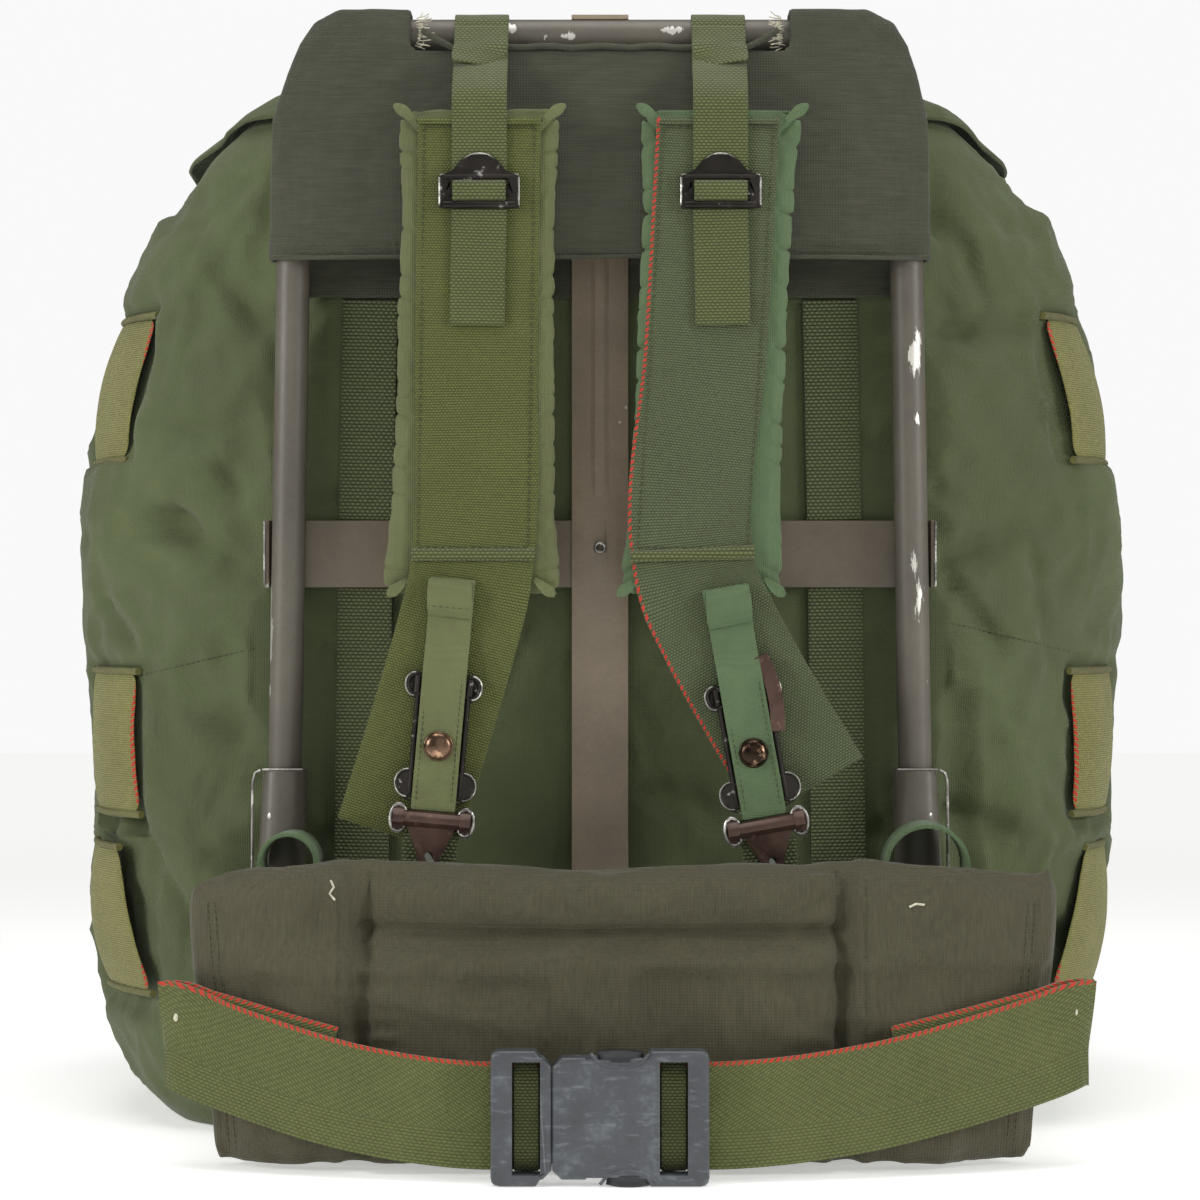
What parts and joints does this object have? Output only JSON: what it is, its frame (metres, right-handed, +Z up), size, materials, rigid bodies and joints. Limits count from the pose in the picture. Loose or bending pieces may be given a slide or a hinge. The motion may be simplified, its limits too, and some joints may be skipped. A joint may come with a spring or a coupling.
{
  "type": "external frame backpack",
  "caption": "Large cloth sack with outer pockets on a bent tube frame, with padded shoulder straps, a hip pad and a webbing belt closed by a side-release buckle.",
  "frame": {"origin": "middle of the bounding box's base, on the floor the pack stands on", "axes": "+X to the right when facing the harness, +Y from the harness towards the sack, +Z up"},
  "size_m": [0.5418, 0.4594, 0.5397],
  "materials": {
    "paint": "worn olive-brown paint over aluminium tube and sheet",
    "steel": "blackened steel, rubbed bright on its edges",
    "brass": "darkened brass snap",
    "nylon": "coated nylon pack cloth, olive green",
    "duck": "nylon duck over padding, faded olive brown",
    "pad": "padded nylon, light olive",
    "web": "woven nylon webbing, olive green",
    "khaki": "cotton webbing, faded khaki",
    "plastic": "moulded acetal, worn black"
  },
  "bodies": {
    "root": {"frame_tube": "paint", "hip_tube": "paint", "centre_bar": "paint", "cross_bar": "paint", "gusset_left": "paint", "gusset_right": "paint", "lid_buckle_left": "steel", "lid_buckle_right": "steel", "strap_adjuster_left": "steel", "strap_adjuster_right": "steel", "release_link_left": "steel", "release_link_right": "steel", "release_buckle_left": "steel", "release_buckle_right": "steel", "snap_stud_left": "brass", "snap_stud_right": "brass", "sack": "nylon", "storm_flap": "nylon", "pocket_lower_left": "nylon", "pocket_lower_middle": "nylon", "pocket_lower_right": "nylon", "pocket_upper_left": "nylon", "pocket_upper_middle": "nylon", "pocket_upper_right": "nylon", "pocket_flap_lower_left": "nylon", "pocket_flap_lower_middle": "nylon", "pocket_flap_lower_right": "nylon", "pocket_flap_upper_left": "nylon", "pocket_flap_upper_middle": "nylon", "pocket_flap_upper_right": "nylon", "frame_envelope": "duck", "kidney_pad": "duck", "shoulder_pad_left": "pad", "shoulder_pad_right": "pad", "lid_strap_left": "web", "lid_strap_right": "web", "back_webbing_left": "web", "back_webbing_right": "web", "hanging_strap_left": "web", "hanging_strap_right": "web", "face_webbing_left": "web", "face_webbing_right": "web", "pull_tab_left": "web", "pull_tab_right": "web", "lower_strap_left": "web", "lower_strap_right": "web", "belt_left": "web", "belt_right": "web", "pad_loop_left": "web", "pad_loop_right": "web", "hanger_left_top": "khaki", "hanger_left_middle": "khaki", "hanger_left_bottom": "khaki", "hanger_right_top": "khaki", "hanger_right_middle": "khaki", "hanger_right_bottom": "khaki", "buckle_socket": "plastic", "buckle_prongs": "plastic"}
  },
  "joints": []
}
